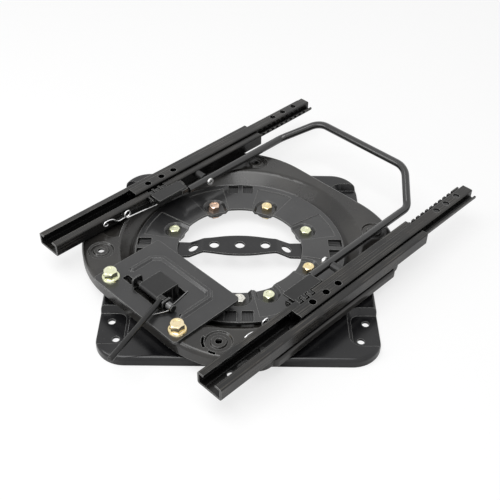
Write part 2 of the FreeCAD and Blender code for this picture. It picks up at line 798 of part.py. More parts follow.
def lock_pawl():
    """Rolled hub and arm with two teeth that drop into the clamp ring's detents."""
    hub = rod((latch_pivot, pawl_right, latch_pivot_height), (latch_pivot, pawl_left, latch_pivot_height), hub_radius)
    top = latch_pivot_height + hub_radius
    arm = block((latch_pivot, pawl_back), (pawl_right, pawl_left), (top - pawl_thickness, top))
    skirt = block((pawl_back - pawl_thickness, pawl_back), (pawl_right, pawl_left), (lock_top - 6.0, top))
    parts = [hub, arm, skirt]
    for side in (-1, 1):
        middle = side * detent_pitch / 2
        across = (middle - pawl_tooth_width / 2, middle + pawl_tooth_width / 2)
        low = ring_top + running_gap
        tooth = block((pawl_tooth_front, pawl_back), across, (low, lock_top - 5.0))
        parts.append(tooth.makeChamfer(1.5, [e for e in tooth.Edges if e.BoundBox.ZMax < low + 0.01
                                             and e.BoundBox.XLength < 0.01 and e.BoundBox.YLength > 1.0]))
        parts.append(block((pawl_tooth_front, pawl_back), across, (lock_top - 6.0, top - pawl_thickness)))
    bore = rod((latch_pivot, pawl_right - 1.0, latch_pivot_height), (latch_pivot, pawl_left + 1.0, latch_pivot_height),
               latch_pin_radius + pin_running_gap)
    pawl = joined(parts).cut(bore)
    rounded = [e for e in pawl.Edges if e.BoundBox.YLength > pawl_tooth_width and e.BoundBox.ZMin > top - 0.01
               and e.BoundBox.XMin > pawl_back - 0.01]
    return pawl.makeFillet(pawl_thickness * 0.8, rounded)


def release_lever():
    """Round lever with an eye on the lock's hinge pin, welded to the side of the pawl's hub."""
    side = pawl_right - eye_width
    height = latch_pivot_height
    eye = rod((latch_pivot, side, height), (latch_pivot, pawl_right, height), eye_radius)
    rod_height = height + lever_rod_lift
    start = (latch_pivot - 3.0, side + eye_width / 2 - 1.0, rod_height)
    end = (lever_end[0], lever_end[1], rod_height)
    bar = rod(start, end, lever_rod_radius)
    tip = [e for e in bar.Edges if e.CenterOfMass.x < lever_end[0] + 1.0 and e.Closed]
    bar = bar.makeFillet(1.0, tip)
    bore = rod((latch_pivot, side - 5.0, height), (latch_pivot, pawl_right + 1.0, height),
               latch_pin_radius + pin_running_gap)
    return joined([eye, bar]).cut(bore)


def wire_bar(points, radius):
    """Round wire through points, with round elbows."""
    parts = [rod(a, b, radius) for a, b in zip(points, points[1:])]
    parts += [Part.makeSphere(radius, Vector(*p)) for p in points[1:-1]]
    return joined(parts)


def coil(radius, wire_radius, turns, pitch):
    """Wound wire along +Z that starts on +X: half turns, each tilted so that the next one starts at its end."""
    section = Part.Face(Part.Wire(Part.makeCircle(wire_radius, Vector(radius, 0, 0), Vector(0, 1, 0))))
    half_turn = section.revolve(Vector(0, 0, 0), Vector(0, 0, 1), 180)
    half_turn.rotate(Vector(0, 0, 0), Vector(0, 1, 0), math.degrees(math.asin(pitch / (4 * radius))))
    parts = []
    for i in range(round(turns * 2)):
        part = half_turn.copy()
        part.rotate(Vector(0, 0, 0), Vector(0, 0, 1), 180 * i)
        part.translate(Vector(0, 0, pitch / 4 + i * pitch / 2))
        parts.append(part)
    return joined(parts)


def latch_spring():
    """Torsion spring on the lock's hinge pin, with one leg on the lock plate and one under the lever."""
    radius = latch_pin_radius + latch_wire_radius + slide_gap
    pitch = 2 * latch_wire_radius * 1.05
    winding = coil(radius, latch_wire_radius, latch_coil_turns, pitch)
    winding.rotate(Vector(0, 0, 0), Vector(0, 0, 1), 180)
    winding.rotate(Vector(0, 0, 0), Vector(1, 0, 0), -90)
    start_side = near_ear_side - latch_ear_thickness - coil_length() + latch_wire_radius - running_gap / 2
    winding.translate(Vector(latch_pivot, start_side, latch_pivot_height))
    end_side = start_side + pitch * latch_coil_turns
    leg_height = lock_top + latch_wire_radius + slide_gap
    leg = wire_bar(((latch_pivot + radius, end_side, latch_pivot_height),
                    (latch_pivot + radius, end_side, leg_height),
                    (latch_pivot + ear_half_length + 2.0, end_side, leg_height),
                    (latch_leg_end[0], latch_leg_end[1], leg_height)), latch_wire_radius)
    lever_under = latch_pivot_height + lever_rod_lift - lever_rod_radius
    tail = wire_bar(((latch_pivot - radius, start_side, latch_pivot_height),
                     (latch_pivot - radius, start_side, leg_height + 1.5),
                     (latch_tail_end[0], latch_tail_end[1], lever_under - latch_wire_radius - slide_gap)),
                    latch_wire_radius)
    return joined([winding, leg, tail])


def lower_rail():
    """Lower rail on the far side: a channel with in-turned lips, drawn about the rail's own line."""
    outer = lower_rail_half_width
    inner = rail_inner_half_width
    bend = rail_bend_radius
    low = rail_floor_height
    high = lower_rail_top
    section = ((-outer, low, bend * 2), (outer, low, bend * 2), (outer, high, bend * 2), (lip_inner, high, 0.5),
               (lip_inner, lip_under, 0.5), (inner, lip_under, bend), (inner, rail_floor_top, 0.4),
               (-inner, rail_floor_top, 0.4), (-inner, lip_under, bend), (-lip_inner, lip_under, 0.5),
               (-lip_inner, high, 0.5), (-outer, high, bend * 2))
    rail = section_solid(section, lower_rail_front, lower_rail_back)
    cuts = []
    for place in latch_fingers:
        half = latch_finger_width / 2 + latch_slot_gap
        cuts.append(block((place - half, place + half), (-outer - 1.0, 0.0), (latch_plate_bottom - 0.6, high + 1.0)))
    for place in floor_hole_places:
        cuts.append(cylinder(floor_hole_radius, low - 1.0, rail_floor_top + 1.0, place))
    half = floor_slot_length / 2
    slot = rectangle((floor_slot_place - half, floor_slot_place + half), (-3.5, 3.5), 3.4)
    cuts.append(plan_solid(slot, low - 1.0, rail_floor_top + 1.0))
    for place in rivet_places:
        cuts.append(cylinder(rivet_radius + slide_gap, low - 1.0, rail_floor_top + 1.0, place))
    cuts.append(rod((handle_pivot, -outer - 1.0, handle_pivot_height), (handle_pivot, 0.0, handle_pivot_height),
                    handle_pin_radius))
    hook_x, hook_z = return_hook
    cuts.append(rod((hook_x, -outer - 1.0, hook_z), (hook_x, 0.0, hook_z), return_wire_radius + slide_gap))
    cuts.append(block((lower_rail_front - 1.0, lower_rail_back + 1.0),
                      (floor_line_side - floor_line_width / 2, floor_line_side + floor_line_width / 2),
                      (rail_floor_top - floor_line_depth, rail_floor_top + 1.0)))
    rail = rail.cut(cuts)
    ears = [rail]
    ear_inner = latch_hinge_side - rail_line - latch_hinge_radius - 2.5
    ear_outer = -outer + 0.5
    for start in (latch_plate_front - latch_ear_gap - latch_lug_width, latch_plate_back + latch_ear_gap):
        shape = ((ear_inner, latch_hinge_height - 4.5, 2.0), (ear_outer, latch_hinge_height - 6.0, 0),
                 (ear_outer, latch_hinge_height + 4.0, 0), (ear_inner, latch_hinge_height + 3.0, 2.0))
        ears.append(section_solid(shape, start, start + latch_lug_width))
    bore = rod((latch_plate_front - 10.0, latch_hinge_side - rail_line, latch_hinge_height),
               (latch_plate_back + 10.0, latch_hinge_side - rail_line, latch_hinge_height), latch_hinge_radius)
    return joined(ears).cut(bore)


def upper_rail():
    """Upper rail on the far side: an upturned channel with hooked edges and a rack of teeth."""
    wall = upper_rail_wall
    half = upper_rail_half_width
    hook = rail_hook_half_width
    low = hook_bottom
    toe = ball_side - (ball_height - low) - (ball_radius + ball_gap) * math.sqrt(2)
    rise = wall * math.sqrt(2)
    right = ((half, upper_rail_top, 1.6), (half, low + half - toe + rise, 1.5),
             (hook - wall, low + hook - wall - toe + rise, 1.0), (hook - wall, hook_height, 0.3),
             (hook, hook_height, 0.3), (hook, low + hook - toe, 2.0), (toe, low, 0.2), (half - wall, low, 0.2),
             (half - wall, upper_rail_top - wall, 0.5))
    left = tuple((-y, z, r) for y, z, r in reversed(right))
    back = upper_rail_front + upper_rail_length
    rail = section_solid(right + left, upper_rail_front, back)
    cuts = []
    place = upper_rail_front + tooth_end_margin
    while place < back - tooth_end_margin:
        gap = (place - tooth_gap / 2, place + tooth_gap / 2)
        cuts.append(block(gap, (-hook - 1.0, -hook + wall + 0.1), (hook_height - tooth_depth, hook_height + 1.0)))
        place += tooth_pitch
    for hole in upper_holes:
        for x in (upper_rail_front + hole, back - hole):
            cuts.append(cylinder(upper_hole_radius, upper_rail_top - wall - 1.0, upper_rail_top + 1.0, x))
    return rail.cut(cuts)


def ball_places():
    """Places of the balls along the rail, about the middle of the two rails' overlap."""
    middle = (upper_rail_front + lower_rail_back) / 2
    first = middle - ball_spacing * (balls_per_side - 1) / 2
    return middle, [first + ball_spacing * i for i in range(balls_per_side)]


def rail_balls():
    """Balls in both lower corners of a rail pair."""
    _, places = ball_places()
    return [Part.makeSphere(ball_radius, Vector(x, side * ball_side, ball_height)) for x in places for side in (-1, 1)]


def ball_cages():
    """Two thin strips that hold the balls apart along the lower corners."""
    middle, places = ball_places()
    low = rail_floor_top + ball_gap
    outer = rail_inner_half_width - 2 * ball_gap
    strips = []
    for side in (-1, 1):
        across = sorted((side * cage_inner, side * outer))
        strip = block((middle - cage_length / 2, middle + cage_length / 2), across, (low, low + cage_thickness))
        drop = ball_height - low - cage_thickness
        hole = math.sqrt(ball_radius ** 2 - drop ** 2) + slide_gap
        holes = [cylinder(hole, low - 1.0, low + 2.0, x, side * ball_side) for x in places]
        strips.append(strip.cut(holes))
    return strips


def rail_rivets():
    """Rivets that hold a lower rail to the swivel plate."""
    rivets = []
    for x in rivet_places:
        head = cone(rivet_head_radius, rivet_head_radius - 1.0, rail_floor_top, rail_floor_top + rivet_head_height, x)
        shank = cylinder(rivet_radius, plate_under - 0.5, rail_floor_top + 0.5, x)
        foot = cone(rivet_head_radius - 1.0, rivet_head_radius, plate_under - rivet_head_height, plate_under, x)
        rivets.append(joined([head, shank, foot]))
    return rivets


def handle():
    """Bent tube with open ends, hinged on both lower rails."""
    height = handle_pivot_height
    points = []
    for side in (1, -1):
        leg = [Vector(handle_leg_start + side * rail_stagger, side * leg_line, height),
               Vector(handle_bend, side * leg_line, height),
               Vector(handle_corner, side * handle_bar_half_width, height + handle_bar_rise)]
        points += leg if side == 1 else reversed(leg)
    radii = [0, handle_bend_radius, handle_corner_radius, handle_corner_radius, handle_bend_radius, 0]
    path = Part.Wire(rounded_edges(points, radii, False))
    tubes = []
    for radius in (handle_tube_radius, handle_tube_radius - handle_tube_wall):
        circle = Part.Wire(Part.makeCircle(radius, points[0], Vector(1, 0, 0)))
        tubes.append(path.makePipeShell([circle], True, False))
    tube = tubes[0].cut(tubes[1])
    bores = []
    for side in (1, -1):
        x = handle_pivot + side * rail_stagger
        bores.append(rod((x, side * (leg_line - 10.0), height), (x, side * (leg_line + 10.0), height),
                         handle_pin_radius + pin_running_gap))
    return tube.cut(bores)


def handle_pin():
    """Shouldered pin that carries the far leg of the handle on the lower rail's wall."""
    x = handle_pivot
    height = handle_pivot_height
    inner = leg_line - handle_tube_radius - running_gap
    outer = leg_line + handle_tube_radius + running_gap
    head = rod((x, inner - handle_pin_head, height), (x, inner, height), handle_pin_head_radius)
    end = inner - handle_pin_head
    bore = rod((x, end - 1.0, height), (x, end + handle_pin_bore_depth, height), handle_pin_bore_radius)
    shaft = rod((x, inner - 0.5, height), (x, rail_wall_side + lower_rail_wall, height), handle_pin_radius)
    shoulder = rod((x, outer, height), (x, rail_wall_side, height), handle_pin_shoulder_radius)
    return joined([head, shaft, shoulder]).cut(bore)


def rail_latch():
    """Hinged latch beside the far rail, with fingers over the rack and a tab inside the handle's leg."""
    low = latch_plate_bottom
    high = low + latch_plate_thickness
    outer = rail_wall_side - running_gap
    plate = plan_solid(rectangle((latch_plate_front, latch_plate_back), (latch_plate_inner, outer), 2.0), low, high)
    parts = [plate]
    for place in latch_fingers:
        half = latch_finger_width / 2
        parts.append(block((place - half, place + half), (outer - 4.0, latch_finger_reach), (low, high)))
    for start in (latch_plate_front, latch_plate_back - latch_lug_width):
        shape = ((latch_hinge_side - 3.5, low + 0.5, 0), (latch_hinge_side - 3.5, latch_hinge_height - 3.5, 3.2),
                 (latch_hinge_side + 3.5, latch_hinge_height - 3.5, 3.2), (latch_hinge_side + 3.5, low + 0.5, 0))
        parts.append(section_solid(shape, start, start + latch_lug_width))
    tab_low = handle_pivot_height - latch_tab_height / 2
    tab_high = handle_pivot_height + latch_tab_height / 2
    arm_inner = leg_line - latch_tab_width / 2
    arm_outer = leg_line + latch_tab_width / 2
    parts.append(block((latch_arm_front, latch_plate_back), (arm_inner, arm_outer), (tab_low, low + 0.5)))
    tab_end = handle_leg_start + latch_tab_length - 2.0
    parts.append(block((latch_plate_back - 0.5, tab_end), (arm_inner, arm_outer), (tab_low, tab_high)))
    bore = rod((latch_plate_front - 5.0, latch_hinge_side, latch_hinge_height),
               (latch_plate_back + 5.0, latch_hinge_side, latch_hinge_height), latch_hinge_radius + pin_running_gap)
    return joined(parts).cut(bore)


def rail_latch_pin():
    """Hinge pin of the far rail latch, pressed into the two ears on the rail."""
    start = latch_plate_front - latch_ear_gap - latch_lug_width - 1.0
    end = latch_plate_back + latch_ear_gap + latch_lug_width + 1.0
    return rod((start, latch_hinge_side, latch_hinge_height), (end, latch_hinge_side, latch_hinge_height),
               latch_hinge_radius)


def handle_return_spring():
    """Wire spring hooked into the far rail's wall, with a coil and a free leg under the rail latch."""
    centre_x, centre_z = return_coil_place
    radius = return_coil_radius
    pitch = 2 * return_wire_radius * 1.05
    winding = coil(radius, return_wire_radius, return_coil_turns, pitch)
    winding.rotate(Vector(0, 0, 0), Vector(0, 0, 1), -90)
    winding.rotate(Vector(0, 0, 0), Vector(1, 0, 0), 90)
    winding.translate(Vector(centre_x, return_coil_side, centre_z))
    low = centre_z - radius
    end_side = return_coil_side - pitch * return_coil_turns
    hook_x, hook_z = return_hook
    wall = rail_wall_side
    outside = wall - return_wire_radius - running_gap
    leg_end = (return_leg_end[0], wall - return_leg_end[1], return_leg_end[2])
    leg = wire_bar(((centre_x - 0.4, end_side, low), leg_end), return_wire_radius * 0.98)
    hook = wire_bar(((centre_x + 0.4, return_coil_side, low), (hook_x + 20.0, outside, low - 1.5),
                     (hook_x + 7.0, outside, hook_z + 6.0), (hook_x, outside, hook_z),
                     (hook_x, wall + lower_rail_wall, hook_z)), return_wire_radius * 0.98)
    return joined([winding, leg, hook])


def on_far_rail(shapes):
    """Shapes drawn about a rail's own line, in place on the far rail."""
    return [s.translated(Vector(rail_stagger, rail_line, 0)) for s in shapes]


def on_near_rail(shapes):
    """The same shapes handed for the near rail."""
    across = Vector(0, 1, 0)
    return [s.mirror(Vector(0, 0, 0), across).translated(Vector(-rail_stagger, -rail_line, 0)) for s in shapes]


def beside_far_rail(shapes):
    """Shapes drawn beside the far rail, moved along with it."""
    return [s.translated(Vector(rail_stagger, 0, 0)) for s in shapes]


def beside_near_rail(shapes):
    """The same shapes handed for the near rail."""
    across = Vector(0, 1, 0)
    return [s.mirror(Vector(0, 0, 0), across).translated(Vector(-rail_stagger, 0, 0)) for s in shapes]


def base_parts():
    """Everything that stays with the base, by node name."""
    angles = bolt_angles + [front_bolt_angle]
    return {
        "base_plate": [base_plate()],
        "cross_strap": [cross_strap()],
        "clamp_ring": [clamp_ring()],
        "lower_glide_ring": [lower_glide_ring()],
        "upper_glide_ring": [upper_glide_ring()],
        "ring_bolts": [ring_bolt(angle) for angle in bolt_angles],
        "front_ring_bolt": [ring_bolt(front_bolt_angle)],
        "ring_nuts": [ring_nut(angle) for angle in angles],
    }


def rail_parts():
    """Everything on the two rail pairs, by node name."""
    parts = {}
    lower = lower_rail()
    parts["lower_rail_far"] = on_far_rail([lower])
    parts["lower_rail_near"] = on_near_rail([lower])
    alike = {"upper_rail": [upper_rail()], "rail_balls": rail_balls(), "ball_cage": ball_cages(),
             "rail_rivets": rail_rivets()}
    for name, shapes in alike.items():
        parts[name + "_far"] = on_far_rail(shapes)
        parts[name + "_near"] = on_near_rail(shapes)
    alike = {"handle_pin": [handle_pin()], "rail_latch": [rail_latch()], "rail_latch_pin": [rail_latch_pin()],
             "handle_return_spring": [handle_return_spring()]}
    for name, shapes in alike.items():
        parts[name + "_far"] = beside_far_rail(shapes)
        parts[name + "_near"] = beside_near_rail(shapes)
    return parts


def swivel_parts():
    """Everything that turns with the swivel plate, by node name."""
    parts = {
        "swivel_plate": [swivel_plate()],
        "lock_plate": [lock_plate()],
        "lock_plate_bolts": [lock_bolt(side) for side in lock_bolt_sides],
        "lock_plate_nuts": [lock_nut(side) for side in lock_bolt_sides],
        "latch_pin": [latch_pin()],
        "lock_pawl": [lock_pawl()],
        "release_lever": [release_lever()],
        "latch_spring": [latch_spring()],
        "handle": [handle()],
    }
    parts.update(rail_parts())
    return parts


def save(name, shapes):
    """Write one node, as a solid or as a group of separate solids."""
    solids = []
    for shape in shapes:
        solids += shape.Solids
    whole = solids[0] if len(solids) == 1 else Part.makeCompound(solids)
    whole.exportStep("parts/" + name + ".step")
    print(name, len(solids), round(whole.Volume, 1), whole.isValid())


def main():
    os.makedirs("parts", exist_ok=True)
    for name, shapes in base_parts().items():
        save(name, shapes)
    standing = Placement(Vector(0, 0, 0), Rotation(Vector(0, 0, 1), swivel_angle))
    for name, shapes in swivel_parts().items():
        save(name, [s.transformed(standing.toMatrix(), copy=True) for s in shapes])


main()
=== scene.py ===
"""Dresses the swivel seat base: painted, plated and moulded finishes, spring wires, light and camera."""
import math

import bpy
from mathutils import Matrix, Vector


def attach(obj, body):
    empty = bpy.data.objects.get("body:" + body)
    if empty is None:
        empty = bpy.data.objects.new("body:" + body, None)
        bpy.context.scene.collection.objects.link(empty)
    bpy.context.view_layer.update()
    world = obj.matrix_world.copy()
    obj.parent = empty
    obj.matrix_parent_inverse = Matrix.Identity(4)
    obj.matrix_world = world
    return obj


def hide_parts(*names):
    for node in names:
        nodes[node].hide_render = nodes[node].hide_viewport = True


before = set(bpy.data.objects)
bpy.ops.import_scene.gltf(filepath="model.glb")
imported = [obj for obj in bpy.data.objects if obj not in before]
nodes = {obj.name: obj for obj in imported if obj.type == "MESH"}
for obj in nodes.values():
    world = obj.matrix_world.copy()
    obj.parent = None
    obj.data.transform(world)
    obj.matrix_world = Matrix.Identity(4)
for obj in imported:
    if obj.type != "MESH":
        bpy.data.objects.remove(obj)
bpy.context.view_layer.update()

MM = 0.001

# Directions: the base's own, then along the rails and across them
EAST = (1.0, 0.0, 0.0)
NORTH = (0.0, 1.0, 0.0)
UP = (0.0, 0.0, 1.0)
ALONG_RAILS = (math.sqrt(0.5), math.sqrt(0.5), 0.0)
ACROSS_RAILS = (-math.sqrt(0.5), math.sqrt(0.5), 0.0)

# Camera as recovered from the photo, in millimetres, degrees and pixels of the photo
IMAGE_PIXELS = 500
SENSOR = 36.0
CAMERA_PLACE = (2.08, -755.21, 676.57)
CAMERA_PITCH = 41.02
CAMERA_YAW = -0.80
CAMERA_ROLL = -1.16
CAMERA_FOCUS_PIXELS = 807.95
CLIP_START = 0.01

# Light: the floor's own glow as the camera sees it, and the sky on dull surfaces
FLOOR_GLOW = 0.72
SKY_LIGHT = 0.38
FLOOR_REACH = 6.0
FLOOR_DROP = 0.0005
LAMPS = (("overhead", (-0.3, -0.4, 1.6), (1.4, 1.0), 16), ("side", (-1.6, -0.6, 1.0), (0.8, 0.8), 7))

# Fineness of the wires
STEPS_A_TURN = 16
WIRE_FACETS = 5
WIRE_STEPS = 6

# Return springs of the handle, in millimetres along the rails, across them and up
RAIL_STAGGER = 5.0
WALL_SIDE = 128.8
RETURN_WIRE_RADIUS = 1.0
RETURN_COIL = (-79.0, 45.5)
RETURN_COIL_SIDE = 126.4
RETURN_COIL_RADIUS = 4.6
RETURN_COIL_PITCH = 2.4
HOOK_SIDE = RETURN_COIL_SIDE + 1.1
RETURN_HOOK = ((-108.0, WALL_SIDE + 2.4, 43.0), (-108.0, WALL_SIDE + 0.8, 43.0), (-108.0, WALL_SIDE, 43.0),
               (-108.05, HOOK_SIDE + 0.2, 43.0), (-109.2, HOOK_SIDE, 42.7), (-110.7, HOOK_SIDE, 42.4),
               (-113.8, HOOK_SIDE, 43.6), (-114.0, HOOK_SIDE, 47.2), (-109.0, HOOK_SIDE, 49.4),
               (-99.5, HOOK_SIDE, 47.4), (-95.0, HOOK_SIDE, 41.5), (-90.0, HOOK_SIDE, 39.6),
               (-83.0, HOOK_SIDE, 40.4))
RETURN_LEG = ((-73.0, 124.1, 40.5), (-32.5, 124.5, 36.0))

# Torsion spring of the lock on its hinge pin, in millimetres along the rails, across them and up
LOCK_PIVOT = (-141.0, 43.0)
LOCK_WIRE_RADIUS = 0.7
LOCK_COIL_RADIUS = 3.9
LOCK_COIL_SIDE = -36.53
LOCK_COIL_PITCH = 1.47
LOCK_COIL_TURNS = 4.5
LOCK_LEG_HEIGHT = 38.8
LOCK_LEG_STRAIGHT = (0.0, 4.5, 5.2)
LOCK_LEG_END = (-108.0, -25.5, LOCK_LEG_HEIGHT)
LOCK_TAIL_DROP = 2.7
LOCK_TAIL_END = (-162.0, -28.0, 41.2)


def grey(level):
    return (level, level, level)


# Black paint, with what lies on it, a painted highlight along folds and painted shade in gaps
COAT_ROUGHNESS = 0.12
PAINT_SHEEN = 0.4
FOLD_RADIUS = 1.25
FOLD_HIGHLIGHT_COLOUR = (0.34, 0.34, 0.33)
ROLLED_LINES_AND_SHEEN_COLOUR = (0.085, 0.078, 0.066)
DUST_COLOUR = (0.30, 0.29, 0.28)
SHADE_COLOUR = grey(0.003)

# How far shade reaches in millimetres, and the shares of open sky at which it is full and gone
SHADE = (14.0, 0.25, 0.85)
CHANNEL_SHADE = (60.0, 0.55, 0.95)

# Tints of the zinc plate
GREENISH = (0.80, 0.82, 0.56)
GOLDEN = (0.88, 0.72, 0.40)
COPPERY = (0.86, 0.58, 0.42)
STRAW = (0.84, 0.76, 0.50)
BLOOM_COLOUR = (0.92, 0.90, 0.84)
GRIME_COLOUR = (0.28, 0.24, 0.18)
RING_TINTS = (STRAW, STRAW, GREENISH, GOLDEN, GREENISH, GOLDEN, COPPERY, GREENISH)

# Distance from the middle between the rails at which the handle pins' plated heads end, in millimetres
PIN_HEAD_SIDE = 105.2


class Value:
    """A number's socket in a material, on which plain arithmetic adds Math nodes."""

    def __init__(self, owner, socket):
        self.owner = owner
        self.socket = socket

    def math(self, operation, *others):
        return self.owner.node("ShaderNodeMath", {"operation": operation}, dict(enumerate([self, *others])))

    def __add__(self, other):
        return self.math("ADD", other)

    def __mul__(self, other):
        return self.math("MULTIPLY", other)

    def __sub__(self, other):
        return self.math("SUBTRACT", other)

    def __truediv__(self, other):
        return self.math("DIVIDE", other)

    def __rsub__(self, other):
        return self.owner.node("ShaderNodeMath", {"operation": "SUBTRACT"}, {0: other, 1: self})

    __radd__ = __add__
    __rmul__ = __mul__

    def above(self, low, high):
        """0 below low and 1 above high."""
        return self.owner.node("ShaderNodeMapRange", {"interpolation_type": "SMOOTHSTEP"},
                               {"Value": self, "From Min": low, "From Max": high})


class Nodes:
    """A node tree under construction."""

    def __init__(self, tree):
        self.tree = tree

    def node(self, kind, settings, inputs, output=0):
        """Add a node: its settings first, then its sockets' values or links. Gives one output."""
        made = self.tree.nodes.new(kind)
        for key, value in settings.items():
            setattr(made, key, value)
        for key, value in inputs.items():
            self.feed(made.inputs[key], value)
        return Value(self, made.outputs[output])

    def feed(self, socket, value):
        """Link a value to a socket, or set the socket to a number or a colour."""
        if isinstance(value, Value):
            self.tree.links.new(value.socket, socket)
        elif isinstance(value, tuple) and len(value) == 3 and socket.type == "RGBA":
            socket.default_value = (*value, 1.0)
        else:
            socket.default_value = value

    def ray(self, kind):
        """1 for the rays of one kind and 0 for others."""
        return self.node("ShaderNodeLightPath", {}, {}, kind)


class Finish(Nodes):
    """A material under construction, with its shader and the coordinates of the part."""

    def __init__(self, name):
        self.material = bpy.data.materials.new(name)
        self.material.use_nodes = True
        super().__init__(self.material.node_tree)
        self.shader = self.tree.nodes["Principled BSDF"]
        self.place = self.node("ShaderNodeTexCoord", {}, {}, "Object")

    def set(self, **values):
        """Set or link the shader's own sockets, named with underscores for spaces."""
        for key, value in values.items():
            self.feed(self.shader.inputs[key.replace("_", " ")], value)

    def noise(self, scale, detail=3.0, roughness=0.5, place=None):
        inputs = {"Vector": place or self.place, "Scale": scale, "Detail": detail, "Roughness": roughness}
        return self.node("ShaderNodeTexNoise", {}, inputs, "Fac")

    def stretched(self, x, y, z):
        """The part's coordinates with each direction scaled."""
        return self.node("ShaderNodeMapping", {}, {"Vector": self.place, "Scale": (x, y, z)})

    def along(self, first, second):
        """How far one vector reaches along another."""
        return self.node("ShaderNodeVectorMath", {"operation": "DOT_PRODUCT"}, {0: first, 1: second}, "Value")

    def reach(self, direction):
        """Distance along a direction from the swivel axis, in millimetres."""
        return self.along(self.place, direction) / MM

    def specks(self, scale, size):
        """Small round spots, 1 inside them."""
        cells = self.node("ShaderNodeTexVoronoi", {}, {"Vector": self.place, "Scale": scale}, "Distance")
        return 1 - cells.above(size * 0.6, size)

    def rolled_lines_and_sheen(self):
        """Fine lines along the rails, as rolling leaves them, fading in and out; their paler brown is partly
        a painted sheen.
        """
        across = self.reach(ACROSS_RAILS) + self.reach(UP) * 0.8
        inputs = {"W": across, "Scale": 0.55}
        lines = self.node("ShaderNodeTexNoise", {"noise_dimensions": "1D"}, inputs, "Fac")
        return lines.above(0.50, 0.58) * self.noise(scale=26.0).above(0.35, 0.6)

    def blend(self, amount, first, second):
        """Mix two colours."""
        return self.node("ShaderNodeMix", {"data_type": "RGBA"}, {0: amount, 6: first, 7: second}, 2)

    def steps(self, amount, colours):
        """Colours in equal steps of an amount from 0 to 1."""
        chosen = self.node("ShaderNodeValToRGB", {}, {0: amount}, "Color")
        ramp = chosen.socket.node.color_ramp
        ramp.interpolation = "CONSTANT"
        while len(ramp.elements) < len(colours):
            ramp.elements.new(0.5)
        for i, (element, colour) in enumerate(zip(ramp.elements, colours)):
            element.position = i / len(colours)
            element.color = (*colour, 1.0)
        return chosen

    def rounded(self, radius):
        """Surface direction with its sharp edges rounded."""
        return self.node("ShaderNodeBevel", {"samples": 6}, {"Radius": radius * MM})

    def edges(self, radius):
        """About 1 on folds and edges and 0 on flat faces."""
        straight = self.node("ShaderNodeNewGeometry", {}, {}, "Normal")
        return (1 - self.along(self.rounded(radius), straight)).above(0.01, 0.16)

    def open_ground(self, reach, full, gone):
        """About 1 on open faces and 0 deep in gaps and corners."""
        seen = self.node("ShaderNodeAmbientOcclusion", {"samples": 6}, {"Distance": reach * MM}, "AO")
        return seen.above(full, gone)

    def relief(self, height, depth, rounding=0.0, strength=1.0):
        """Bump of a height field, in millimetres, on edges rounded by a radius."""
        inputs = {"Height": height, "Distance": depth * MM, "Strength": strength}
        if rounding:
            inputs["Normal"] = self.rounded(rounding)
        return self.node("ShaderNodeBump", {}, inputs, "Normal")


def coat(name, dark, light, rough, gloss, dust, fold_highlight=0.9, shade=SHADE, lines_and_sheen=0.0):
    """Glossy black coat: fine orange peel, cloudy sheen, a little dust, a thin painted highlight of pale
    colour along folds and painted shade deep in gaps and corners.
    """
    finish = Finish(name)
    clouds = finish.noise(scale=22.0, detail=4.0)
    grain = finish.noise(scale=420.0, detail=2.0)
    lengthened = finish.stretched(1.0, 7.0, 1.0)
    scuffs = finish.noise(scale=60.0, detail=6.0, roughness=0.7, place=lengthened).above(0.62, 0.75)
    colour = finish.blend(clouds.above(0.35, 0.7), dark, light)
    if lines_and_sheen:
        # paler brownish lines along the rails: rolling marks and painted sheen
        colour = finish.blend(finish.rolled_lines_and_sheen() * lines_and_sheen, colour, ROLLED_LINES_AND_SHEEN_COLOUR)
    folds = finish.edges(FOLD_RADIUS)
    # painted highlight: pale colour along folds and edges in place of lamp glints
    colour = finish.blend(folds * fold_highlight, colour, FOLD_HIGHLIGHT_COLOUR)
    specks = finish.specks(scale=330.0, size=0.12) * finish.noise(scale=35.0).above(0.5, 0.65)
    colour = finish.blend(specks * dust, colour, DUST_COLOUR)
    lit = finish.open_ground(*shade)
    colour = finish.blend(lit, SHADE_COLOUR, colour)
    finish.set(Base_Color=colour,
               Roughness=rough + clouds * 0.12 + scuffs * 0.12 - folds * 0.14,
               Metallic=0.0,
               Coat_Weight=(gloss - scuffs * 0.2) * lit,
               Coat_Roughness=COAT_ROUGHNESS,
               Specular_IOR_Level=PAINT_SHEEN,
               Normal=finish.relief(grain, depth=0.02, rounding=0.9, strength=0.5))
    return finish.material


def plated(finish, tint, rough):
    """Zinc plate of a given tint, with grime in patches and a faintly rough skin."""
    grime = finish.noise(scale=160.0, detail=4.0).above(0.58, 0.72)
    bloom = finish.noise(scale=90.0, roughness=0.6).above(0.40, 0.62)
    colour = finish.blend(bloom * 0.25, tint, BLOOM_COLOUR)
    colour = finish.blend(grime * 0.3, colour, GRIME_COLOUR)
    skin = finish.noise(scale=700.0, detail=2.0)
    finish.set(Base_Color=colour,
               Roughness=rough + grime * 0.12 + bloom * 0.05,
               Metallic=1.0,
               Normal=finish.relief(skin, depth=0.015, rounding=0.5, strength=0.4))
    return finish.material


def ring_bolt_zinc():
    """Passivated zinc of the ring's bolts, each of a tint of its own by its angle on the ring."""
    finish = Finish("ring_bolt_zinc")
    turn = finish.reach(NORTH).math("ARCTAN2", finish.reach(EAST)) / (2 * math.pi) + 0.5
    return plated(finish, finish.steps(turn, RING_TINTS), rough=0.13)


def lock_bolt_zinc():
    """Passivated zinc of the lock plate's bolts, pale on the left one and golden on the right one."""
    finish = Finish("lock_bolt_zinc")
    right_one = 1 - finish.reach(ACROSS_RAILS).above(-1.0, 1.0)
    return plated(finish, finish.blend(right_one, GREENISH, GOLDEN), rough=0.13)


def clear_zinc():
    """Clear zinc plate."""
    finish = Finish("clear_zinc")
    tint = finish.blend(finish.noise(scale=80.0), (0.80, 0.78, 0.70), (0.70, 0.69, 0.64))
    return plated(finish, tint, rough=0.15)


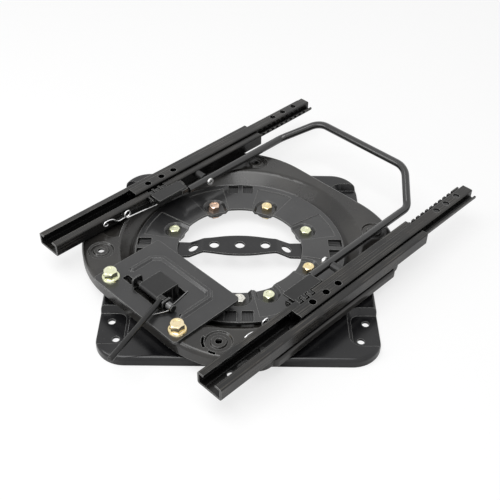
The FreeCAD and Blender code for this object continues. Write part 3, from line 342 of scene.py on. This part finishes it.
def pin_finish():
    """Handle pin with a plated head on its inner end and a black shoulder."""
    finish = Finish("handle_pin")
    outside = finish.reach(ACROSS_RAILS).math("ABSOLUTE").above(PIN_HEAD_SIDE, PIN_HEAD_SIDE + 0.3)
    skin = finish.noise(scale=300.0)
    finish.set(Base_Color=finish.blend(outside, (0.86, 0.86, 0.85), grey(0.02)),
               Metallic=1 - outside,
               Roughness=0.34 + skin * 0.12,
               Normal=finish.relief(skin, depth=0.01, rounding=0.4, strength=0.4))
    return finish.material


def glide_plastic():
    """Dark moulded plastic with a fine matt skin."""
    finish = Finish("glide_plastic")
    skin = finish.noise(scale=900.0, detail=2.0)
    finish.set(Base_Color=finish.blend(finish.noise(scale=30.0), (0.030, 0.030, 0.031), grey(0.050)),
               Roughness=0.42 + skin * 0.15,
               Normal=finish.relief(skin, depth=0.02))
    return finish.material


def steel(name, bright, dull, rough):
    """Bare drawn wire or rolled steel, mottled between two greys."""
    finish = Finish(name)
    draw = finish.noise(scale=500.0)
    finish.set(Base_Color=finish.blend(draw, grey(bright), grey(dull)),
               Metallic=1.0,
               Roughness=rough + draw * 0.1,
               Normal=finish.relief(draw, depth=0.01, strength=0.4))
    return finish.material


def assign(material, *names):
    """Give CAD nodes a material."""
    for name in names:
        mesh = nodes[name].data
        mesh.materials.clear()
        mesh.materials.append(material)


def both(name):
    """Names of a pair of nodes, far and near."""
    return [name + "_far", name + "_near"]


def paint():
    """Black coats of the plates, the rails, the handle and the latches."""
    base = coat("base_coat", (0.006, 0.006, 0.007), (0.013, 0.013, 0.014), rough=0.15, gloss=0.10, dust=0.4)
    ring = coat("ring_coat", (0.022, 0.022, 0.023), grey(0.036), rough=0.27, gloss=0.55, dust=0.5)
    turning = coat("turning_coat", (0.013, 0.012, 0.011), (0.026, 0.024, 0.021), rough=0.22, gloss=0.36,
                   dust=0.5)
    plate = coat("lock_plate_coat", (0.020, 0.020, 0.021), grey(0.030), rough=0.26, gloss=0.5, dust=0.5)
    rails = coat("rail_coat", grey(0.006), (0.014, 0.012, 0.010), rough=0.20, gloss=0.15, dust=0.4,
                 shade=CHANNEL_SHADE, lines_and_sheen=0.7)
    tube = coat("tube_coat", grey(0.009), grey(0.014), rough=0.20, gloss=0.8, dust=0.2, fold_highlight=0.3)
    latch = coat("latch_coat", grey(0.006), grey(0.011), rough=0.24, gloss=0.12, dust=0.2)
    assign(base, "base_plate", "cross_strap")
    assign(ring, "clamp_ring")
    assign(turning, "swivel_plate")
    assign(plate, "lock_plate")
    assign(rails, *both("lower_rail"), *both("upper_rail"), *both("rail_rivets"))
    assign(tube, "handle")
    assign(latch, "release_lever", "lock_pawl", "latch_pin", *both("rail_latch"), *both("rail_latch_pin"))


def metal_and_plastic():
    """Finishes of the fasteners, the balls with their cages and the glide rings."""
    assign(glide_plastic(), "lower_glide_ring", "upper_glide_ring")
    assign(ring_bolt_zinc(), "ring_bolts", "ring_nuts")
    assign(lock_bolt_zinc(), "lock_plate_bolts", "lock_plate_nuts")
    assign(clear_zinc(), "front_ring_bolt")
    assign(pin_finish(), *both("handle_pin"))
    assign(steel("ball_steel", bright=0.62, dull=0.50, rough=0.25), *both("rail_balls"), *both("ball_cage"))


def wire_piece(name, path, radius, material):
    """Round wire along a path, given in millimetres along the rails, across them and up."""
    curve = bpy.data.curves.new(name, "CURVE")
    curve.dimensions = "3D"
    curve.bevel_depth = 1.0
    curve.bevel_resolution = WIRE_FACETS
    curve.resolution_u = WIRE_STEPS
    curve.use_fill_caps = True
    line = curve.splines.new("NURBS")
    line.points.add(len(path) - 1)
    for point, (along, across, height) in zip(line.points, path):
        x, y = [along * ALONG_RAILS[i] + across * ACROSS_RAILS[i] for i in range(2)]
        point.co = (x * MM, y * MM, height * MM, 1.0)
        point.radius = radius * MM
    line.order_u = 3
    line.use_endpoint_u = True
    curve.materials.append(material)
    piece = bpy.data.objects.new(name, curve)
    bpy.context.scene.collection.objects.link(piece)
    return piece


def coil(centre, radius, side, pitch, turns, start, sense):
    """Points of a coil whose axis lies across the rails, from a start angle in degrees."""
    points = []
    for step in range(round(turns * STEPS_A_TURN) + 1):
        turned = step / STEPS_A_TURN
        angle = math.radians(start) + sense * 2 * math.pi * turned
        along = centre[0] + radius * math.cos(angle)
        height = centre[1] + radius * math.sin(angle)
        points.append((along, side + pitch * turned, height))
    return points


def return_spring(side, name, material):
    """Wire beside a rail: a hook through the rail's wall, an open coil and a leg along the wall."""
    turn = coil(RETURN_COIL, RETURN_COIL_RADIUS, RETURN_COIL_SIDE, -RETURN_COIL_PITCH, turns=1, start=270.0,
                sense=1)
    shift = side * RAIL_STAGGER
    path = [(along + shift, across * side, height)
            for along, across, height in (*RETURN_HOOK, *turn, *RETURN_LEG)]
    return wire_piece(name, path, RETURN_WIRE_RADIUS, material)


def lock_coil(material):
    """Coil of the lock's spring on its pin, with the leg that rests on the lock plate."""
    path = coil(LOCK_PIVOT, LOCK_COIL_RADIUS, LOCK_COIL_SIDE, LOCK_COIL_PITCH, LOCK_COIL_TURNS, start=180.0,
                sense=-1)
    along, across, height = path[-1]
    path += [(along + straight, across, LOCK_LEG_HEIGHT) for straight in LOCK_LEG_STRAIGHT]
    path.append(LOCK_LEG_END)
    return wire_piece("lock_spring_coil", path, LOCK_WIRE_RADIUS, material)


def lock_tail(material):
    """Other leg of the lock's spring, which lies under the lever and turns with it about the pin."""
    start = LOCK_PIVOT[0] - LOCK_COIL_RADIUS
    top = (start, LOCK_COIL_SIDE, LOCK_PIVOT[1])
    low = (start, LOCK_COIL_SIDE, LOCK_PIVOT[1] - LOCK_TAIL_DROP)
    return wire_piece("lock_spring_tail", [top, low, LOCK_TAIL_END], LOCK_WIRE_RADIUS, material)


def springs():
    """Return springs of the handle, one beside each rail, and the lock's spring, cut at its joint."""
    bright = steel("bright_wire", bright=0.92, dull=0.78, rough=0.22)
    for side, name in ((1, "far"), (-1, "near")):
        piece = return_spring(side, "return_spring_" + name, bright)
        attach(piece, "swivel")
        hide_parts("handle_return_spring_" + name)
    dull = steel("grey_wire", bright=0.30, dull=0.20, rough=0.22)
    for piece, body in ((lock_coil(dull), "swivel"), (lock_tail(dull), "lever")):
        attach(piece, body)
        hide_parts("latch_spring")


def camera():
    """Camera at the photo's place and angle."""
    pitch = math.radians(CAMERA_PITCH)
    roll = math.radians(CAMERA_ROLL)
    turn = Matrix.Rotation(math.radians(CAMERA_YAW), 3, "Z")
    right = turn @ Vector((1, 0, 0))
    ahead = turn @ Vector((0, math.cos(pitch), -math.sin(pitch)))
    down = turn @ Vector((0, -math.sin(pitch), -math.cos(pitch)))
    across = math.cos(roll) * right + math.sin(roll) * down
    below = math.cos(roll) * down - math.sin(roll) * right
    lens = bpy.data.cameras.new("camera")
    lens.sensor_width = SENSOR
    lens.lens = CAMERA_FOCUS_PIXELS * SENSOR / IMAGE_PIXELS
    lens.clip_start = CLIP_START
    seat = bpy.data.objects.new("camera", lens)
    bpy.context.scene.collection.objects.link(seat)
    turned = Matrix((across, -below, -ahead)).transposed().to_4x4()
    seat.matrix_world = Matrix.Translation(Vector(CAMERA_PLACE) * MM) @ turned
    bpy.context.scene.camera = seat


def floor():
    """Pale floor that keeps the part's shadow and is nearly white as the camera sees it."""
    finish = Finish("floor")
    seen = finish.ray("Is Camera Ray")
    finish.set(Base_Color=finish.blend(seen, grey(0.93), grey(0.30)), Roughness=1.0,
               Emission_Color=grey(1.0), Emission_Strength=seen * FLOOR_GLOW)
    mesh = bpy.data.meshes.new("floor")
    corners = [(x * FLOOR_REACH, y * FLOOR_REACH, 0) for x, y in ((-1, -1), (1, -1), (1, 1), (-1, 1))]
    mesh.from_pydata(corners, [], [(0, 1, 2, 3)])
    mesh.materials.append(finish.material)
    ground = bpy.data.objects.new("floor", mesh)
    bpy.context.scene.collection.objects.link(ground)
    ground.location.z = -FLOOR_DROP


def sky():
    """Surround that is white to the camera and in reflections and gives dull surfaces a softer light."""
    world = bpy.data.worlds.new("studio")
    world.use_nodes = True
    bpy.context.scene.world = world
    tree = Nodes(world.node_tree)
    white = tree.ray("Is Camera Ray") + (tree.ray("Is Glossy Ray") + tree.ray("Is Transmission Ray"))
    background = world.node_tree.nodes["Background"].inputs
    tree.feed(background["Strength"], white.math("MINIMUM", 1.0) * (1.0 - SKY_LIGHT) + SKY_LIGHT)
    tree.feed(background["Color"], grey(1.0))


def lamps():
    """Soft lamps that point at the part's middle, with their place and size in metres and power in watts."""
    for name, place, size, power in LAMPS:
        light = bpy.data.lights.new(name, "AREA")
        light.shape = "RECTANGLE"
        light.size, light.size_y = size
        light.energy = power
        holder = bpy.data.objects.new(name, light)
        bpy.context.scene.collection.objects.link(holder)
        holder.location = place
        holder.rotation_euler = (-Vector(place)).to_track_quat("-Z", "Y").to_euler()


paint()
metal_and_plastic()
springs()
camera()
floor()
sky()
lamps()
bpy.context.scene.view_settings.view_transform = "Standard"
